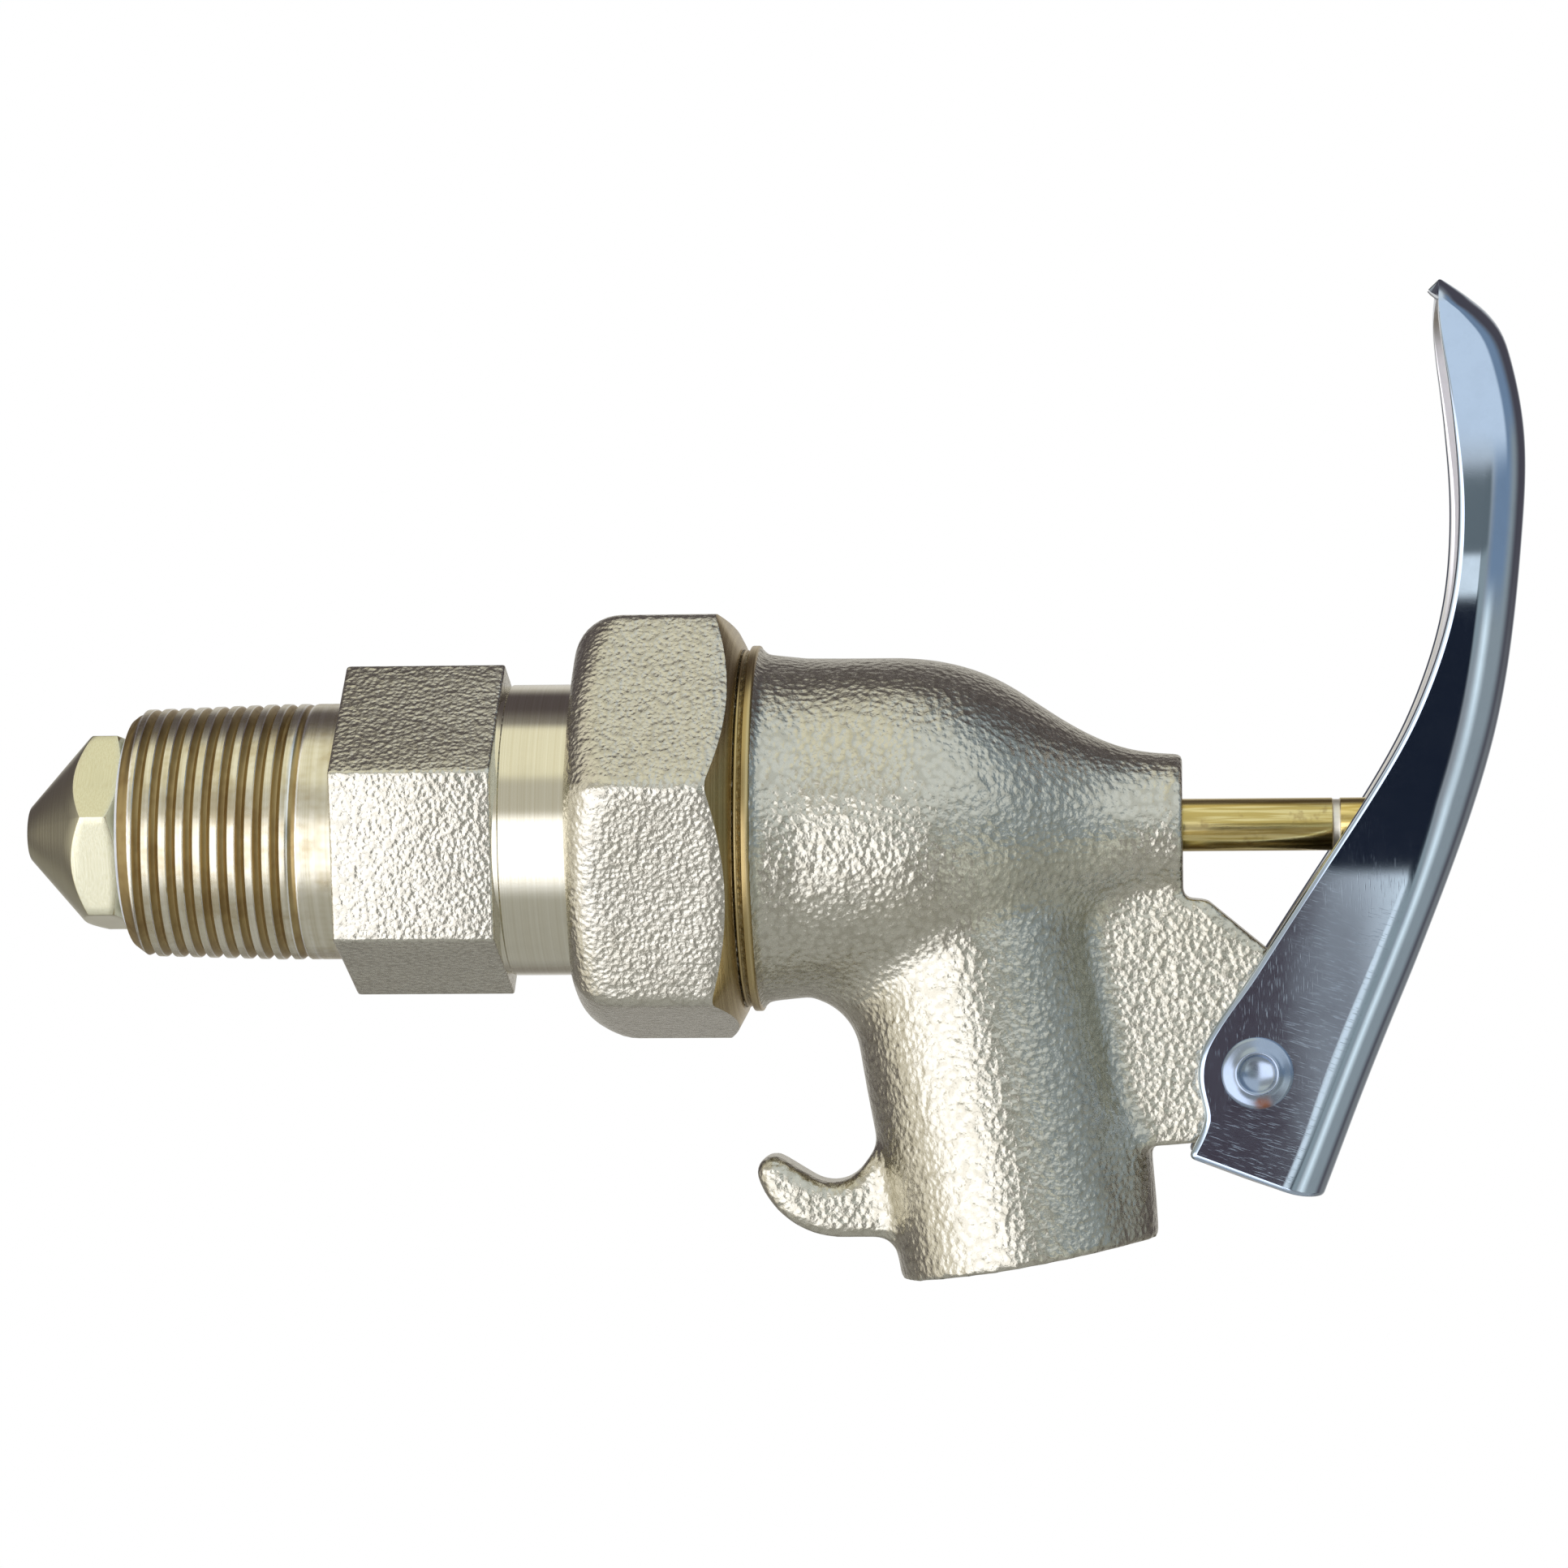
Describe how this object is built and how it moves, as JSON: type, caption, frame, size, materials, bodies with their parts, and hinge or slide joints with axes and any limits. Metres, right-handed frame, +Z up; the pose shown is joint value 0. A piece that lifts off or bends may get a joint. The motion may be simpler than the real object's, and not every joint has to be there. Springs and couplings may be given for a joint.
{
  "type": "drum faucet",
  "caption": "Cast brass drum faucet with a threaded swivel inlet, a down-turned spout with a pail hook, and a thumb lever that opens a self-closing poppet valve.",
  "frame": {"origin": "on the inlet axis, in the plane where the hand-tight tapered thread meets the face of its socket", "axes": "+X along the inlet axis from the drum to the lever, +Z up and opposite to the spout, +Y to the far side of the lever"},
  "size_m": [0.1572, 0.0466, 0.1037],
  "materials": {
    "cast_brass": "sand cast, tumbled satin",
    "machined_brass": "turned, bright",
    "stem_brass": "polished",
    "chrome": "bright plated",
    "stainless": "plain",
    "ptfe": "matt white"
  },
  "bodies": {
    "inlet": {"inlet_nipple": "machined_brass"},
    "nut": {"union_nut": "cast_brass"},
    "faucet_body": {"body_casting": "cast_brass", "union_gasket": "ptfe", "arrester_screen_inner": "stainless", "screen_spacer": "machined_brass", "arrester_screen_outer": "stainless", "guide_spider": "machined_brass", "packing_ring_inner": "ptfe", "packing_ring_outer": "ptfe", "packing_follower": "machined_brass", "gland_nut": "machined_brass", "closing_spring": "stainless"},
    "valve": {"valve_stem": "stem_brass", "poppet_nose": "machined_brass", "poppet_seal": "ptfe", "seal_washer": "machined_brass", "spring_seat": "machined_brass", "retaining_clip": "stainless"},
    "lever_assembly": {"lever": "chrome", "lever_rivet": "chrome"}
  },
  "joints": [
    {"name": "union_nut_turn", "type": "hinge", "parent": "inlet", "child": "nut", "pos_m": [0.0424, 0, 0], "axis": [-1, 0, 0], "range_deg": [0, 90]},
    {"name": "body_swivel", "type": "hinge", "parent": "inlet", "child": "faucet_body", "pos_m": [0.0459, 0, 0], "axis": [1, 0, 0], "continuous": true},
    {"name": "lever_pivot", "type": "hinge", "parent": "faucet_body", "child": "lever_assembly", "pos_m": [0.1092, 0, -0.0256], "axis": [0, -1, 0], "range_deg": [0, 14]},
    {"name": "valve_slide", "type": "slide", "parent": "faucet_body", "child": "valve", "axis": [-1, 0, 0], "range_m": [0, 0.0073], "stiffness_N_per_m": 600, "springref_m": -0.016, "deforming": ["closing_spring"]}
  ],
  "couplings": [
    {"joint": "valve_slide", "follows": "lever_pivot", "m_per_rad": 0.0295}
  ]
}
